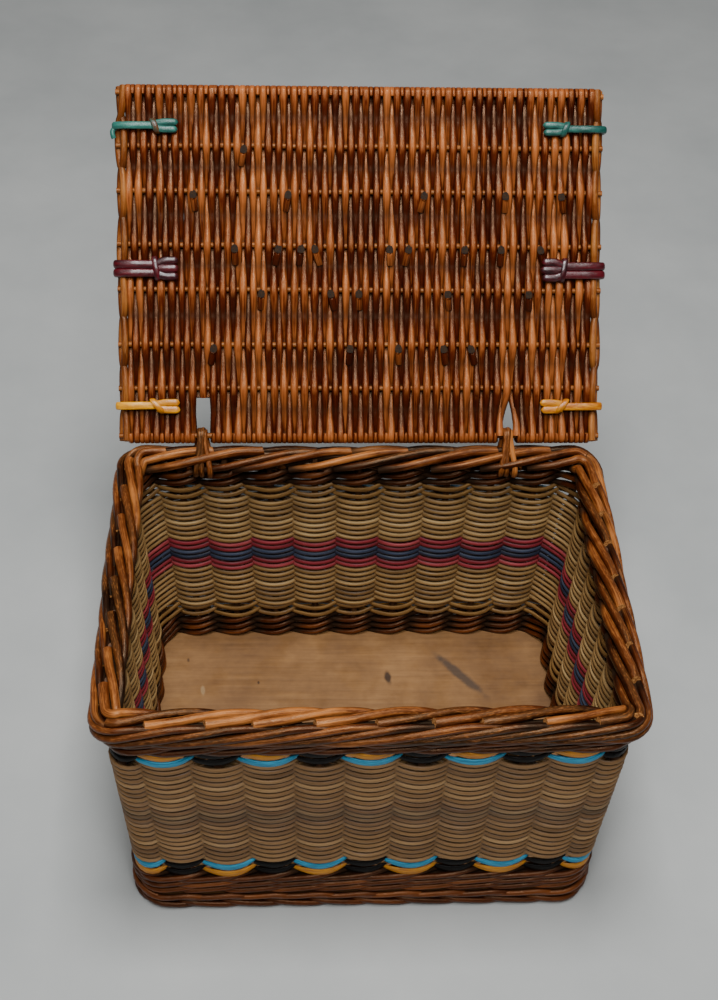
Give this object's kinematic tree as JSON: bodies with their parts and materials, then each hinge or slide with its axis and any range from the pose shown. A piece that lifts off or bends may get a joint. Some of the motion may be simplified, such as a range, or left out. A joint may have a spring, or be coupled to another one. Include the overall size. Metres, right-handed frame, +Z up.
{
  "type": "sewing basket",
  "caption": "Rectangular woven willow and cane sewing basket with a thick rolled rim, a flat floor board and a woven lid that swings on loops at the back.",
  "frame": {"origin": "on the ground, under the middle of the basket body", "axes": "+Z up, +Y towards the hinged back, +X to the right of someone facing the open basket"},
  "size_m": [0.336, 0.3967, 0.3912],
  "materials": {
    "brown_willow": "glossy brown varnished willow rod",
    "golden_willow": "glossy golden-brown varnished willow rod",
    "tan_cane": "dull natural tan cane",
    "floor_board": "plain brown board, lightly stained",
    "yellow_cane": "cane painted yellow and black outside, tan inside",
    "blue_cane": "cane painted blue and black outside, tan inside",
    "red_cane": "cane dyed dark red inside, faded outside",
    "navy_cane": "cane dyed navy inside, faded outside",
    "turquoise_strand": "turquoise flexible strand",
    "maroon_strand": "maroon flexible strand",
    "yellow_strand": "yellow flexible strand"
  },
  "bodies": {
    "basket": {"base_board": "floor_board", "foot_border": "brown_willow", "side_stakes": "brown_willow", "lower_wale": "brown_willow", "lower_yellow_round": "yellow_cane", "lower_blue_round": "blue_cane", "lower_tan_weave": "tan_cane", "lower_red_rounds": "red_cane", "navy_rounds": "navy_cane", "upper_red_rounds": "red_cane", "upper_tan_weave": "tan_cane", "upper_blue_round": "blue_cane", "upper_yellow_round": "yellow_cane", "upper_wale": "brown_willow", "rim_border": "brown_willow", "left_hinge_loop": "brown_willow", "right_hinge_loop": "brown_willow"},
    "lid": {"lid_back_rod": "brown_willow", "lid_front_rod": "brown_willow", "lid_rib_1": "brown_willow", "lid_rib_2": "brown_willow", "lid_rib_3": "brown_willow", "lid_rib_4": "brown_willow", "lid_rib_5": "brown_willow", "lid_rib_6": "brown_willow", "lid_left_edge_rod": "golden_willow", "lid_right_edge_rod": "golden_willow", "lid_weave": "brown_willow", "left_yellow_tie": "yellow_strand", "right_yellow_tie": "yellow_strand", "left_maroon_tie": "maroon_strand", "right_maroon_tie": "maroon_strand", "left_turquoise_tie": "turquoise_strand", "right_turquoise_tie": "turquoise_strand"}
  },
  "joints": [
    {"name": "lid_hinge", "type": "hinge", "parent": "basket", "child": "lid", "pos_m": [0, 0.1215, 0.2095], "axis": [1, 0, 0], "range_deg": [0, 129.8]}
  ]
}
